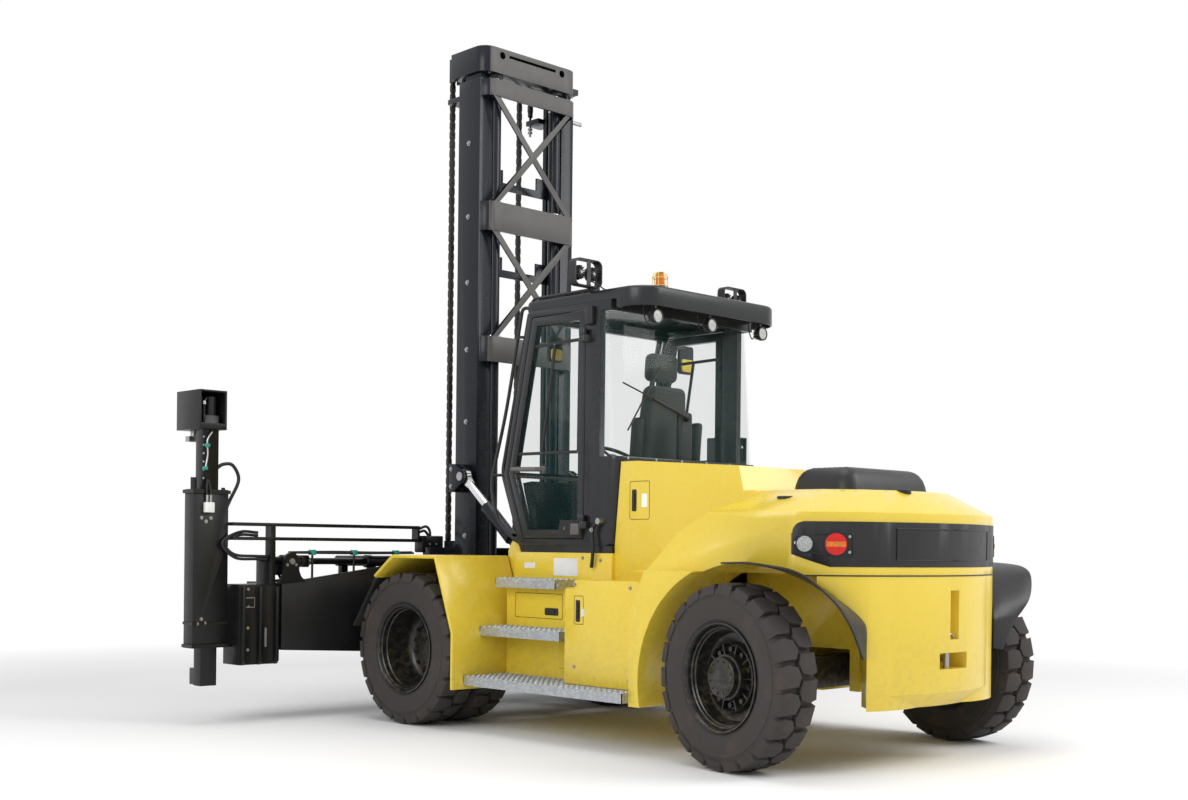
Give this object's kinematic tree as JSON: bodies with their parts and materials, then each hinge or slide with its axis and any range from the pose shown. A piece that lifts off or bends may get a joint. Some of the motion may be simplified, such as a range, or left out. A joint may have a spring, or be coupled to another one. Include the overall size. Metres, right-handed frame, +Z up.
{
  "type": "electric empty container handler",
  "caption": "Counterbalanced port truck with a tall lift mast, side-gripping telescopic spreader, glazed cab, twin drive wheels and steered rear wheels; lifts empty containers.",
  "frame": {"origin": "on the ground below the middle of the drive axle", "axes": "+X forward towards the mast, +Y to the driver's left, +Z up"},
  "size_m": [5.053, 6.133, 5.2692],
  "materials": {
    "yellow_paint": "gloss yellow paint",
    "yellow_cast": "yellow paint over casting",
    "galvanised_steel": "galvanised grating",
    "bare_steel": "worn steel",
    "black_plastic": "textured moulding",
    "black_rubber": "matt rubber",
    "lamp_lens": "clear moulded lens",
    "amber_lens": "amber lens",
    "axle_paint": "satin black",
    "cab_grey": "satin dark grey",
    "tinted_glass": "green tint",
    "seat_fabric": "woven cloth",
    "black_paint": "satin black",
    "tyre_rubber": "matt tread rubber",
    "rim_paint": "satin black",
    "mast_paint": "satin blue-black",
    "chrome_rod": "polished",
    "chain_steel": "oiled steel",
    "spreader_paint": "satin black",
    "battery_case": "plain case"
  },
  "bodies": {
    "truck": {"chassis_frame": "yellow_paint", "battery_pack": "battery_case", "front_fenders": "yellow_paint", "side_boxes": "yellow_paint", "step_treads": "galvanised_steel", "counterweight": "yellow_cast", "tow_pin": "bare_steel", "rear_body": "yellow_paint", "vent_cover": "black_plastic", "lamp_band": "black_plastic", "tail_lamps": "lamp_lens", "rear_mudguards": "black_rubber", "drive_axle": "axle_paint", "steer_axle": "axle_paint", "cab_floor": "cab_grey", "cab_frame": "cab_grey", "cab_roof": "cab_grey", "cab_glass": "tinted_glass", "seat": "seat_fabric", "cab_controls": "black_plastic", "grab_rails": "black_paint", "roof_lamps": "black_plastic", "beacon": "amber_lens"},
    "door_left": {"door_left": "cab_grey", "door_glass_left": "tinted_glass"},
    "door_right": {"door_right": "cab_grey", "door_glass_right": "tinted_glass"},
    "front_wheel_left": {"tyres_front_left": "tyre_rubber", "rim_front_left": "rim_paint"},
    "front_wheel_right": {"tyres_front_right": "tyre_rubber", "rim_front_right": "rim_paint"},
    "knuckle_left": {"knuckle_left": "axle_paint"},
    "knuckle_right": {"knuckle_right": "axle_paint"},
    "rear_wheel_left": {"tyre_rear_left": "tyre_rubber", "rim_rear_left": "rim_paint"},
    "rear_wheel_right": {"tyre_rear_right": "tyre_rubber", "rim_rear_right": "rim_paint"},
    "mast": {"outer_mast": "mast_paint", "lift_barrels": "mast_paint"},
    "inner_mast": {"inner_mast": "mast_paint", "lift_rods": "chrome_rod", "lift_chains": "chain_steel"},
    "carriage": {"carriage": "mast_paint"},
    "tilt_barrel_left": {"tilt_barrel_left": "mast_paint"},
    "tilt_barrel_right": {"tilt_barrel_right": "mast_paint"},
    "tilt_rod_left": {"tilt_rod_left": "chrome_rod"},
    "tilt_rod_right": {"tilt_rod_right": "chrome_rod"},
    "spreader": {"spreader_frame": "spreader_paint"},
    "arm_left": {"arm_left": "spreader_paint"},
    "arm_right": {"arm_right": "spreader_paint"},
    "leg_left": {"leg_left": "spreader_paint"},
    "leg_right": {"leg_right": "spreader_paint"},
    "twistlock_left": {"twistlock_left": "bare_steel"},
    "twistlock_right": {"twistlock_right": "bare_steel"}
  },
  "joints": [
    {"name": "left_door_swing", "type": "hinge", "parent": "truck", "child": "door_left", "pos_m": [-1.326, 0.778, 1.5], "axis": [0, 0, 1], "range_deg": [0, 80]},
    {"name": "right_door_swing", "type": "hinge", "parent": "truck", "child": "door_right", "pos_m": [-1.326, -0.778, 1.5], "axis": [0, 0, -1], "range_deg": [0, 80]},
    {"name": "front_left_roll", "type": "hinge", "parent": "truck", "child": "front_wheel_left", "pos_m": [0, 1, 0.56], "axis": [0, 1, 0], "continuous": true},
    {"name": "front_right_roll", "type": "hinge", "parent": "truck", "child": "front_wheel_right", "pos_m": [0, -1, 0.56], "axis": [0, 1, 0], "continuous": true},
    {"name": "left_steer", "type": "hinge", "parent": "truck", "child": "knuckle_left", "pos_m": [-3.095, 1, 0.56], "axis": [0, 0, 1], "range_deg": [-56.8, 73.2]},
    {"name": "right_steer", "type": "hinge", "parent": "truck", "child": "knuckle_right", "pos_m": [-3.095, -1, 0.56], "axis": [0, 0, 1], "range_deg": [-56.8, 73.2]},
    {"name": "rear_left_roll", "type": "hinge", "parent": "knuckle_left", "child": "rear_wheel_left", "pos_m": [-3.07161, 1.16232, 0.56], "axis": [0.1426, 0.9898, 0], "continuous": true},
    {"name": "rear_right_roll", "type": "hinge", "parent": "knuckle_right", "child": "rear_wheel_right", "pos_m": [-3.11839, -1.16232, 0.56], "axis": [0.1426, 0.9898, 0], "continuous": true},
    {"name": "mast_tilt", "type": "hinge", "parent": "truck", "child": "mast", "pos_m": [0.3, 0, 0.55], "axis": [0, 1, 0], "range_deg": [-10, 6]},
    {"name": "inner_lift", "type": "slide", "parent": "mast", "child": "inner_mast", "axis": [0, 0, 1], "range_m": [0, 3.5]},
    {"name": "carriage_lift", "type": "slide", "parent": "inner_mast", "child": "carriage", "axis": [0, 0, 1], "range_m": [0, 3.5], "deforming": ["lift_chains"]},
    {"name": "side_shift", "type": "slide", "parent": "carriage", "child": "spreader", "axis": [0, 1, 0], "range_m": [-0.11, 1.09]},
    {"name": "left_arm_extend", "type": "slide", "parent": "spreader", "child": "arm_left", "axis": [0, 1, 0], "range_m": [0, 3.066]},
    {"name": "right_arm_extend", "type": "slide", "parent": "spreader", "child": "arm_right", "axis": [0, -1, 0], "range_m": [0, 3.066]},
    {"name": "left_leg_float", "type": "slide", "parent": "arm_left", "child": "leg_left", "axis": [0, 0, 1], "range_m": [0, 0.14]},
    {"name": "right_leg_float", "type": "slide", "parent": "arm_right", "child": "leg_right", "axis": [0, 0, 1], "range_m": [0, 0.14]},
    {"name": "left_twist", "type": "hinge", "parent": "leg_left", "child": "twistlock_left", "pos_m": [1.099, 2.4365, 2.1], "axis": [0, 0, 1], "range_deg": [0, 90]},
    {"name": "right_twist", "type": "hinge", "parent": "leg_right", "child": "twistlock_right", "pos_m": [1.099, -3.4165, 2.1], "axis": [0, 0, 1], "range_deg": [0, 90]},
    {"name": "left_tilt_barrel_swing", "type": "hinge", "parent": "truck", "child": "tilt_barrel_left", "pos_m": [-0.46, 0.6, 1.3], "axis": [0, 1, 0], "range_deg": [-9.3, 5.6]},
    {"name": "left_tilt_rod_slide", "type": "slide", "parent": "tilt_barrel_left", "child": "tilt_rod_left", "axis": [0.7625, 0, 0.647], "range_m": [-0.187, 0.112]},
    {"name": "right_tilt_barrel_swing", "type": "hinge", "parent": "truck", "child": "tilt_barrel_right", "pos_m": [-0.46, -0.6, 1.3], "axis": [0, 1, 0], "range_deg": [-9.3, 5.6]},
    {"name": "right_tilt_rod_slide", "type": "slide", "parent": "tilt_barrel_right", "child": "tilt_rod_right", "axis": [0.7625, 0, 0.647], "range_m": [-0.187, 0.112]}
  ],
  "couplings": [
    {"joint": "right_steer", "follows": "left_steer", "ratio": 1},
    {"joint": "carriage_lift", "follows": "inner_lift", "ratio": 1},
    {"joint": "right_arm_extend", "follows": "left_arm_extend", "ratio": 1},
    {"joint": "left_tilt_barrel_swing", "follows": "mast_tilt", "ratio": 0.92},
    {"joint": "left_tilt_rod_slide", "follows": "mast_tilt", "m_per_rad": 1.065},
    {"joint": "right_tilt_barrel_swing", "follows": "mast_tilt", "ratio": 0.92},
    {"joint": "right_tilt_rod_slide", "follows": "mast_tilt", "m_per_rad": 1.065}
  ]
}
